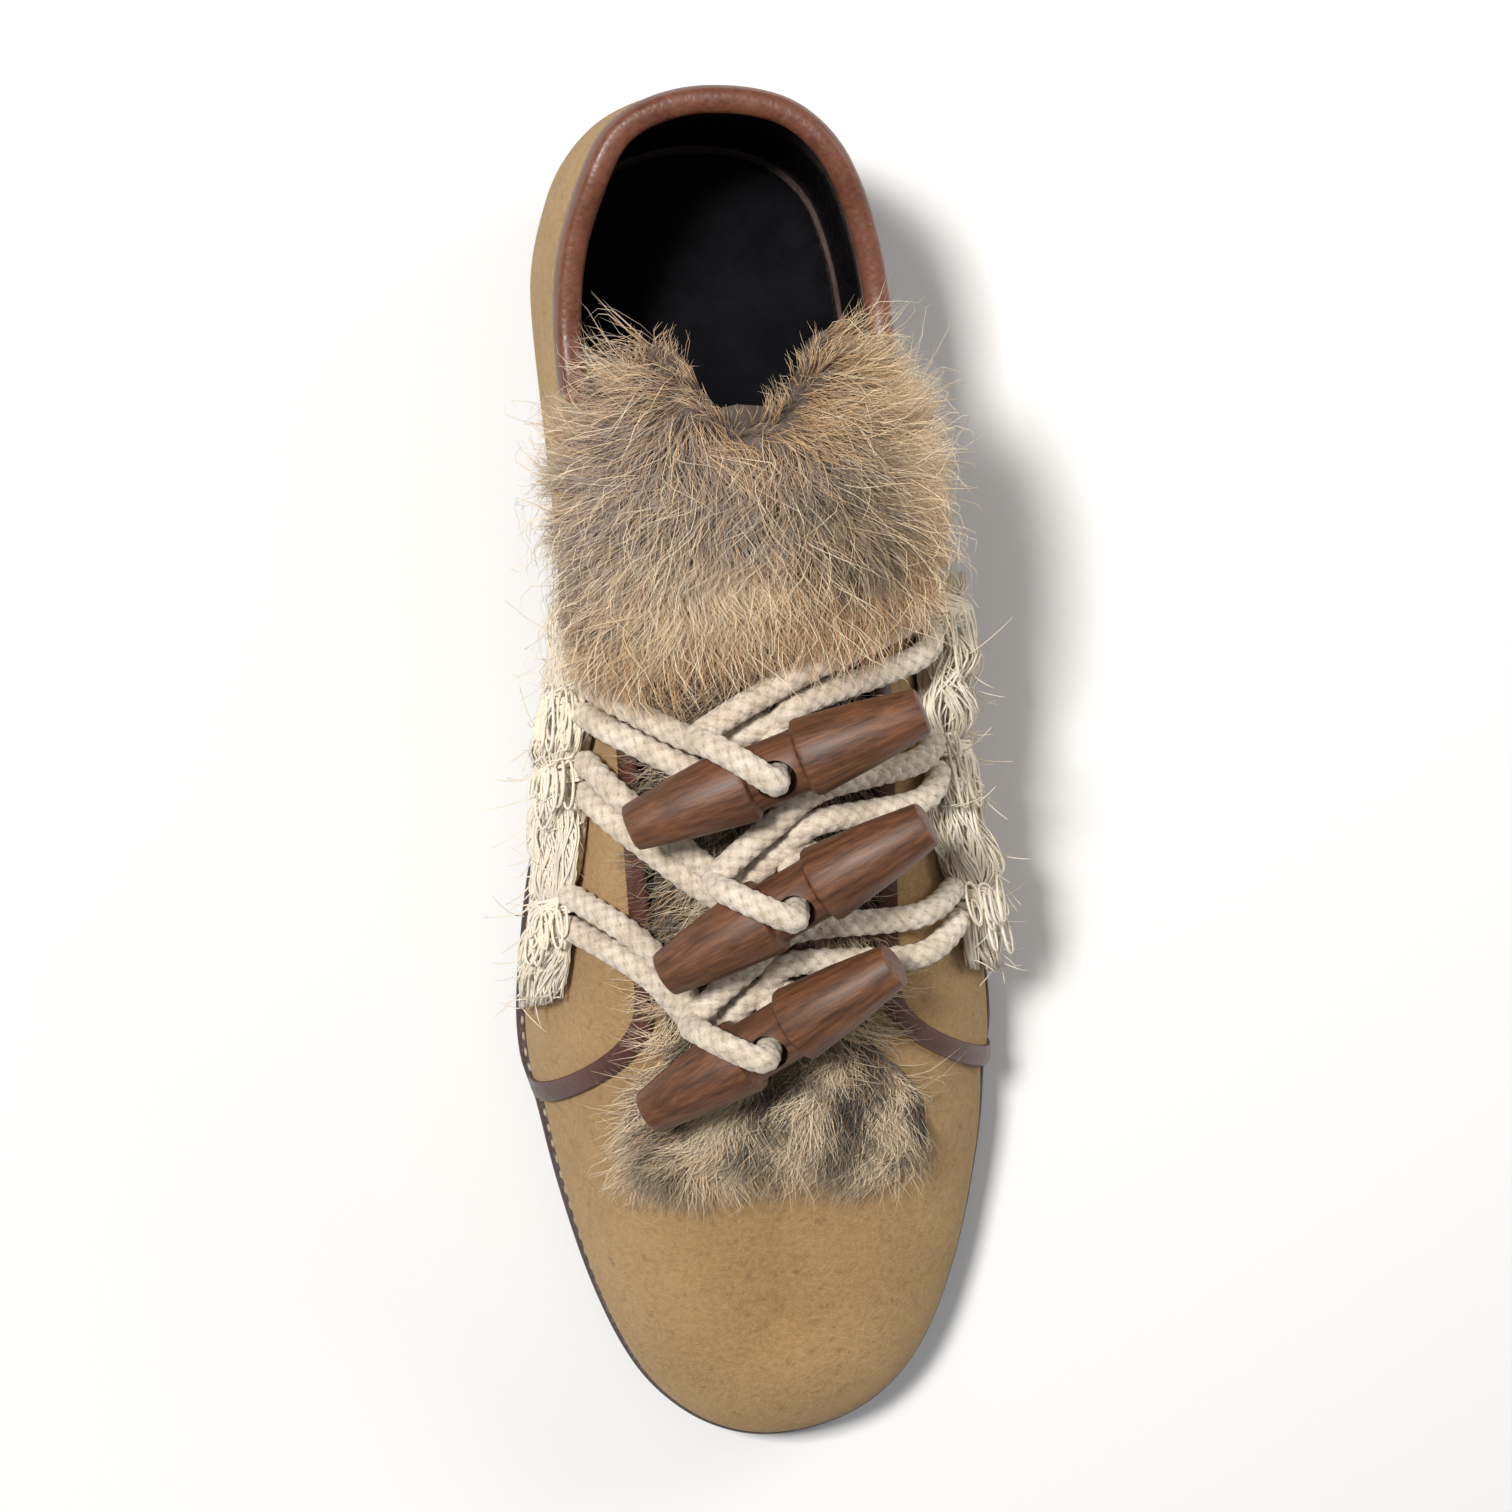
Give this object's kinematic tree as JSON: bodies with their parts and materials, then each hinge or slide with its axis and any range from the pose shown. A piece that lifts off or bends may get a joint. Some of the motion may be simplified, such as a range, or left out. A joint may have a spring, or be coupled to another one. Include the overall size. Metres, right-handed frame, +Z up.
{
  "type": "dress shoe",
  "caption": "Felt derby dress shoe for the left foot, with a fur tongue, wooden toggles on cotton cords, frayed yarn trim, a stitched welt and a low stacked heel.",
  "frame": {"origin": "on the floor under the middle of the heel", "axes": "+Z up, toe towards -Y, outer side of the left foot towards +X"},
  "size_m": [0.1079, 0.2927, 0.1199],
  "materials": {
    "camel_felt": "matt wool felt with a short nap",
    "brown_leather": "satin rolled edge",
    "dark_leather": "satin rolled edge",
    "sole_leather": "stained leather sole",
    "welt_leather": "stained and stitched welt",
    "stacked_leather": "stained stacked layers",
    "sock_leather": "smooth black sock",
    "tongue_leather": "plain backing",
    "fur": "long soft fur",
    "toggle_wood": "satin turned wood",
    "cotton_cord": "braided cotton",
    "cotton_yarn": "frayed cotton yarn"
  },
  "bodies": {
    "root": {"outsole": "sole_leather", "welt": "welt_leather", "heel": "stacked_leather", "insole": "sock_leather", "upper": "camel_felt", "tongue": "tongue_leather", "collar_binding": "brown_leather", "quarter_binding_lateral": "dark_leather", "quarter_binding_medial": "dark_leather", "fur_cuff": "fur", "fur_apron": "fur", "toggle_1": "toggle_wood", "toggle_2": "toggle_wood", "toggle_3": "toggle_wood", "cord_row_1": "cotton_cord", "cord_row_2": "cotton_cord", "cord_row_3": "cotton_cord", "fringe_lateral": "cotton_yarn", "fringe_medial": "cotton_yarn"}
  },
  "joints": []
}
